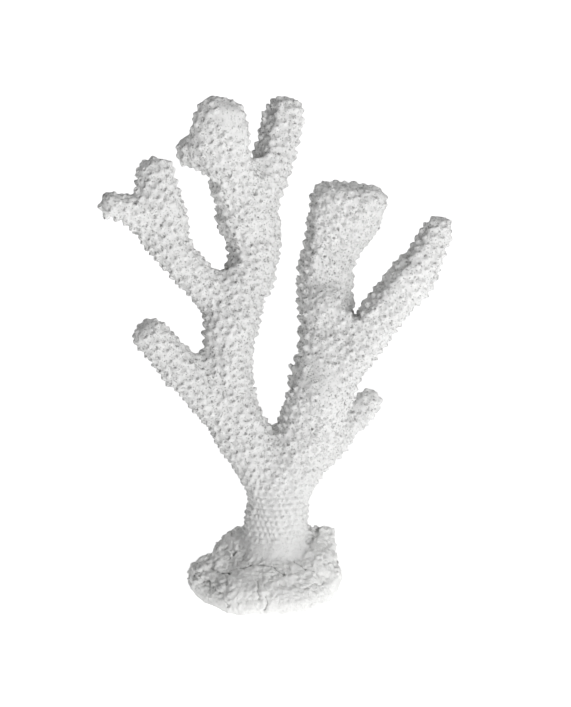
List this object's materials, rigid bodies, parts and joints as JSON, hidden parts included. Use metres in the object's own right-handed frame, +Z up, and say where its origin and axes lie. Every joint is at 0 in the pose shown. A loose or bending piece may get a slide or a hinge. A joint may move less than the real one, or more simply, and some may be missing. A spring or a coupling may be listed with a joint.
{
  "type": "staghorn coral",
  "caption": "Bleached white staghorn coral skeleton: a short trunk that forks into blunt upright branches covered in small tubular cups, on a low rocky foot.",
  "frame": {"origin": "centre of the flat underside of the rocky foot", "axes": "+Z up along the coral's height, +X to the right and -Y towards the front, the side on which the fan of branches faces the viewer"},
  "size_m": [0.203, 0.0865, 0.2985],
  "materials": {
    "coral_skeleton": "matt, dry, pitted, bleached white",
    "holdfast_rock": "matt, dry, rough, bleached white"
  },
  "bodies": {
    "root": {"holdfast": "holdfast_rock", "trunk": "coral_skeleton", "left_stem": "coral_skeleton", "lower_left_finger": "coral_skeleton", "upper_left_arm": "coral_skeleton", "upper_left_finger": "coral_skeleton", "outer_left_finger": "coral_skeleton", "centre_stem": "coral_skeleton", "centre_left_head": "coral_skeleton", "centre_right_finger": "coral_skeleton", "right_stem": "coral_skeleton", "right_upright": "coral_skeleton", "right_long_branch": "coral_skeleton", "lower_right_finger": "coral_skeleton"}
  },
  "joints": []
}
